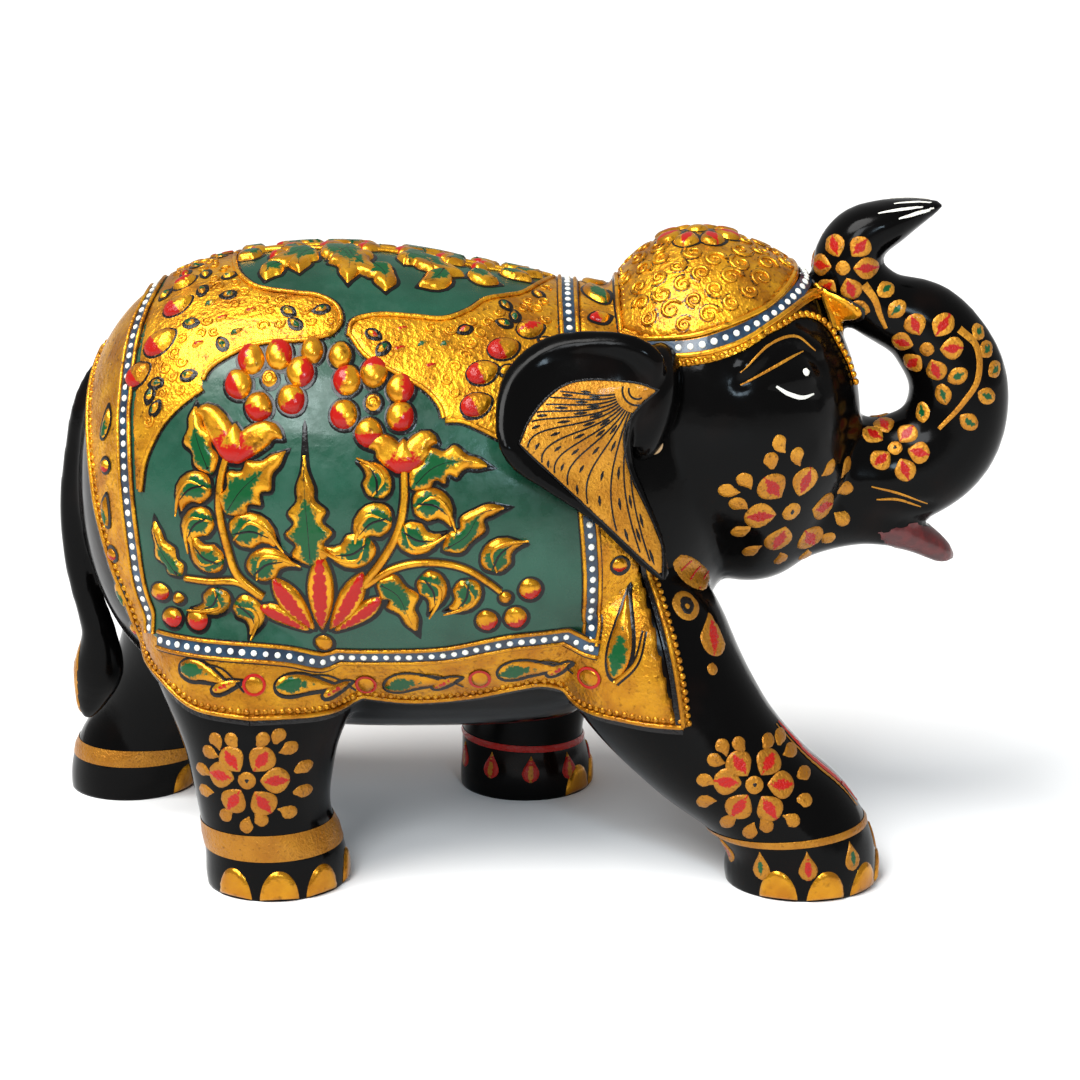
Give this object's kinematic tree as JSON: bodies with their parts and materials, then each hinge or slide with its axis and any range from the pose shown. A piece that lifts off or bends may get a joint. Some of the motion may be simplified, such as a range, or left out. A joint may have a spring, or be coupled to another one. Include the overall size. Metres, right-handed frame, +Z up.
{
  "type": "carved elephant figurine",
  "caption": "Standing carved wooden elephant with raised trunk, black lacquer and raised gold, green and red gesso ornament.",
  "frame": {"origin": "centre of the bounding box on the plane that the four feet stand on", "axes": "+Z up, +X towards the trunk, the elephant's right side faces -Y"},
  "size_m": [0.2998, 0.1312, 0.1999],
  "materials": {
    "black_lacquer": "glossy black lacquer over carved wood",
    "bare_wood": "bare turned dowel",
    "gold_paint": "varnished gold paint over gesso",
    "green_paint": "varnished green enamel",
    "red_paint": "varnished red enamel",
    "navy_paint": "varnished blue-black enamel with white dots",
    "white_paint": "white enamel dots and strokes"
  },
  "bodies": {
    "root": {"anklet_front_left": "gold_paint", "anklet_front_right": "gold_paint", "anklet_rear_left": "gold_paint", "anklet_rear_right": "gold_paint", "arch_panel_front_left": "gold_paint", "arch_panel_front_right": "gold_paint", "arch_panel_rear": "gold_paint", "berry_flower_front_left": "red_paint", "berry_flower_front_right": "red_paint", "berry_flower_rear_left": "red_paint", "berry_flower_rear_right": "red_paint", "cap_bead_fringe": "gold_paint", "carved_body": "black_lacquer", "cheek_flower_left": "gold_paint", "cheek_flower_right": "gold_paint", "ear_dowel_left_lower": "bare_wood", "ear_dowel_left_upper": "bare_wood", "ear_dowel_right_lower": "bare_wood", "ear_dowel_right_upper": "bare_wood", "ear_left": "black_lacquer", "ear_right": "black_lacquer", "head_cap": "gold_paint", "leg_flower_front_left": "gold_paint", "leg_flower_front_right": "gold_paint", "leg_flower_rear_left": "gold_paint", "leg_flower_rear_right": "gold_paint", "lotus_left": "red_paint", "lotus_right": "red_paint", "neck_band": "gold_paint", "saddle_bead_edging_left_1": "gold_paint", "saddle_bead_edging_left_2": "gold_paint", "saddle_bead_edging_right_1": "gold_paint", "saddle_border": "navy_paint", "saddle_cloth": "gold_paint"}
  },
  "joints": []
}
